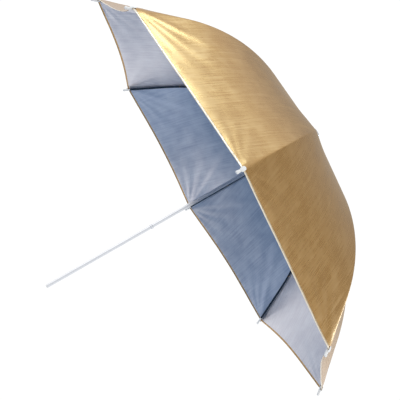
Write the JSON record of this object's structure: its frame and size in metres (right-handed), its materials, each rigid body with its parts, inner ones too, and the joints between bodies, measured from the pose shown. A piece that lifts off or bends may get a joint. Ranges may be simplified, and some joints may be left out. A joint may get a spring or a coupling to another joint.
{
  "type": "umbrella reflector",
  "caption": "Folding photographic umbrella: a curved metallic cloth canopy on hinged ribs and stretchers, opened by a runner that slides along a thin round shaft.",
  "frame": {"origin": "on the shaft's axis, halfway along the plain stretch that a holder grips", "axes": "+X along the shaft towards the crown, so the bowl faces -X; +Z is towards rib 1 and the catch"},
  "size_m": [0.695, 1.0224, 1.0224],
  "materials": {
    "gold_cloth": "metallised gold outside, silver inside, satin",
    "plated_steel": "bright plated",
    "blackened_steel": "blackened, semi-gloss",
    "steel_wire": "plain drawn",
    "white_plastic": "moulded, gloss",
    "black_plastic": "moulded, satin"
  },
  "bodies": {
    "shaft": {"shaft_tube": "plated_steel", "shaft_end_plug": "white_plastic", "lower_stop_ring": "plated_steel", "upper_stop_pin": "plated_steel", "notch_pin": "plated_steel", "catch_pin": "plated_steel", "top_notch": "black_plastic", "notch_wire": "steel_wire", "canopy_rosette": "gold_cloth", "crown_cap": "plated_steel"},
    "runner": {"runner_sleeve": "black_plastic", "runner_wire": "steel_wire"},
    "catch": {"catch_lever": "plated_steel"},
    "rib_arm_1": {"rib_1": "blackened_steel", "rib_tip_1": "white_plastic", "rib_rivet_1": "steel_wire", "canopy_panel_1": "gold_cloth"},
    "rib_arm_2": {"rib_2": "blackened_steel", "rib_tip_2": "white_plastic", "rib_rivet_2": "steel_wire", "canopy_panel_2": "gold_cloth"},
    "rib_arm_3": {"rib_3": "blackened_steel", "rib_tip_3": "white_plastic", "rib_rivet_3": "steel_wire", "canopy_panel_3": "gold_cloth"},
    "rib_arm_4": {"rib_4": "blackened_steel", "rib_tip_4": "white_plastic", "rib_rivet_4": "steel_wire", "canopy_panel_4": "gold_cloth"},
    "rib_arm_5": {"rib_5": "blackened_steel", "rib_tip_5": "white_plastic", "rib_rivet_5": "steel_wire", "canopy_panel_5": "gold_cloth"},
    "rib_arm_6": {"rib_6": "blackened_steel", "rib_tip_6": "white_plastic", "rib_rivet_6": "steel_wire", "canopy_panel_6": "gold_cloth"},
    "rib_arm_7": {"rib_7": "blackened_steel", "rib_tip_7": "white_plastic", "rib_rivet_7": "steel_wire", "canopy_panel_7": "gold_cloth"},
    "rib_arm_8": {"rib_8": "blackened_steel", "rib_tip_8": "white_plastic", "rib_rivet_8": "steel_wire", "canopy_panel_8": "gold_cloth"},
    "stretcher_arm_1": {"stretcher_1": "blackened_steel"},
    "stretcher_arm_2": {"stretcher_2": "blackened_steel"},
    "stretcher_arm_3": {"stretcher_3": "blackened_steel"},
    "stretcher_arm_4": {"stretcher_4": "blackened_steel"},
    "stretcher_arm_5": {"stretcher_5": "blackened_steel"},
    "stretcher_arm_6": {"stretcher_6": "blackened_steel"},
    "stretcher_arm_7": {"stretcher_7": "blackened_steel"},
    "stretcher_arm_8": {"stretcher_8": "blackened_steel"}
  },
  "joints": [
    {"name": "runner_slide", "type": "slide", "parent": "shaft", "child": "runner", "axis": [-1, 0, 0], "range_m": [0, 0.27301]},
    {"name": "rib_hinge_1", "type": "hinge", "parent": "shaft", "child": "rib_arm_1", "pos_m": [0.55438, 0, 0.009], "axis": [0, -1, 0], "range_deg": [0, 59.01], "deforming": ["canopy_panel_1"]},
    {"name": "rib_hinge_2", "type": "hinge", "parent": "shaft", "child": "rib_arm_2", "pos_m": [0.55438, -0.00636, 0.00636], "axis": [0, -0.7071, -0.7071], "range_deg": [0, 59.01], "deforming": ["canopy_panel_2"]},
    {"name": "rib_hinge_3", "type": "hinge", "parent": "shaft", "child": "rib_arm_3", "pos_m": [0.55438, -0.009, 0], "axis": [0, 0, -1], "range_deg": [0, 59.01], "deforming": ["canopy_panel_3"]},
    {"name": "rib_hinge_4", "type": "hinge", "parent": "shaft", "child": "rib_arm_4", "pos_m": [0.55438, -0.00636, -0.00636], "axis": [0, 0.7071, -0.7071], "range_deg": [0, 59.01], "deforming": ["canopy_panel_4"]},
    {"name": "rib_hinge_5", "type": "hinge", "parent": "shaft", "child": "rib_arm_5", "pos_m": [0.55438, 0, -0.009], "axis": [0, 1, 0], "range_deg": [0, 59.01], "deforming": ["canopy_panel_5"]},
    {"name": "rib_hinge_6", "type": "hinge", "parent": "shaft", "child": "rib_arm_6", "pos_m": [0.55438, 0.00636, -0.00636], "axis": [0, 0.7071, 0.7071], "range_deg": [0, 59.01], "deforming": ["canopy_panel_6"]},
    {"name": "rib_hinge_7", "type": "hinge", "parent": "shaft", "child": "rib_arm_7", "pos_m": [0.55438, 0.009, 0], "axis": [0, 0, 1], "range_deg": [0, 59.01], "deforming": ["canopy_panel_7"]},
    {"name": "rib_hinge_8", "type": "hinge", "parent": "shaft", "child": "rib_arm_8", "pos_m": [0.55438, 0.00636, 0.00636], "axis": [0, -0.7071, 0.7071], "range_deg": [0, 59.01], "deforming": ["canopy_panel_8"]},
    {"name": "stretcher_hinge_1", "type": "hinge", "parent": "rib_arm_1", "child": "stretcher_arm_1", "pos_m": [0.50326, 0, 0.19718], "axis": [0, 1, 0], "range_deg": [0, 118.02]},
    {"name": "stretcher_hinge_2", "type": "hinge", "parent": "rib_arm_2", "child": "stretcher_arm_2", "pos_m": [0.50326, -0.13943, 0.13943], "axis": [0, 0.7071, 0.7071], "range_deg": [0, 118.02]},
    {"name": "stretcher_hinge_3", "type": "hinge", "parent": "rib_arm_3", "child": "stretcher_arm_3", "pos_m": [0.50326, -0.19718, 0], "axis": [0, 0, 1], "range_deg": [0, 118.02]},
    {"name": "stretcher_hinge_4", "type": "hinge", "parent": "rib_arm_4", "child": "stretcher_arm_4", "pos_m": [0.50326, -0.13943, -0.13943], "axis": [0, -0.7071, 0.7071], "range_deg": [0, 118.02]},
    {"name": "stretcher_hinge_5", "type": "hinge", "parent": "rib_arm_5", "child": "stretcher_arm_5", "pos_m": [0.50326, 0, -0.19718], "axis": [0, -1, 0], "range_deg": [0, 118.02]},
    {"name": "stretcher_hinge_6", "type": "hinge", "parent": "rib_arm_6", "child": "stretcher_arm_6", "pos_m": [0.50326, 0.13943, -0.13943], "axis": [0, -0.7071, -0.7071], "range_deg": [0, 118.02]},
    {"name": "stretcher_hinge_7", "type": "hinge", "parent": "rib_arm_7", "child": "stretcher_arm_7", "pos_m": [0.50326, 0.19718, 0], "axis": [0, 0, -1], "range_deg": [0, 118.02]},
    {"name": "stretcher_hinge_8", "type": "hinge", "parent": "rib_arm_8", "child": "stretcher_arm_8", "pos_m": [0.50326, 0.13943, 0.13943], "axis": [0, 0.7071, -0.7071], "range_deg": [0, 118.02]},
    {"name": "catch_press", "type": "hinge", "parent": "shaft", "child": "catch", "pos_m": [0.38663, 0, 0], "axis": [0, 1, 0], "range_deg": [0, 7], "stiffness_Nm_per_rad": 0.05, "springref_deg": -6.88}
  ],
  "couplings": [
    {"joint": "rib_hinge_1", "follows": "runner_slide", "rad_per_m": 3.7718},
    {"joint": "rib_hinge_2", "follows": "runner_slide", "rad_per_m": 3.7718},
    {"joint": "rib_hinge_3", "follows": "runner_slide", "rad_per_m": 3.7718},
    {"joint": "rib_hinge_4", "follows": "runner_slide", "rad_per_m": 3.7718},
    {"joint": "rib_hinge_5", "follows": "runner_slide", "rad_per_m": 3.7718},
    {"joint": "rib_hinge_6", "follows": "runner_slide", "rad_per_m": 3.7718},
    {"joint": "rib_hinge_7", "follows": "runner_slide", "rad_per_m": 3.7718},
    {"joint": "rib_hinge_8", "follows": "runner_slide", "rad_per_m": 3.7718},
    {"joint": "stretcher_hinge_1", "follows": "runner_slide", "rad_per_m": 7.5436},
    {"joint": "stretcher_hinge_2", "follows": "runner_slide", "rad_per_m": 7.5436},
    {"joint": "stretcher_hinge_3", "follows": "runner_slide", "rad_per_m": 7.5436},
    {"joint": "stretcher_hinge_4", "follows": "runner_slide", "rad_per_m": 7.5436},
    {"joint": "stretcher_hinge_5", "follows": "runner_slide", "rad_per_m": 7.5436},
    {"joint": "stretcher_hinge_6", "follows": "runner_slide", "rad_per_m": 7.5436},
    {"joint": "stretcher_hinge_7", "follows": "runner_slide", "rad_per_m": 7.5436},
    {"joint": "stretcher_hinge_8", "follows": "runner_slide", "rad_per_m": 7.5436}
  ]
}
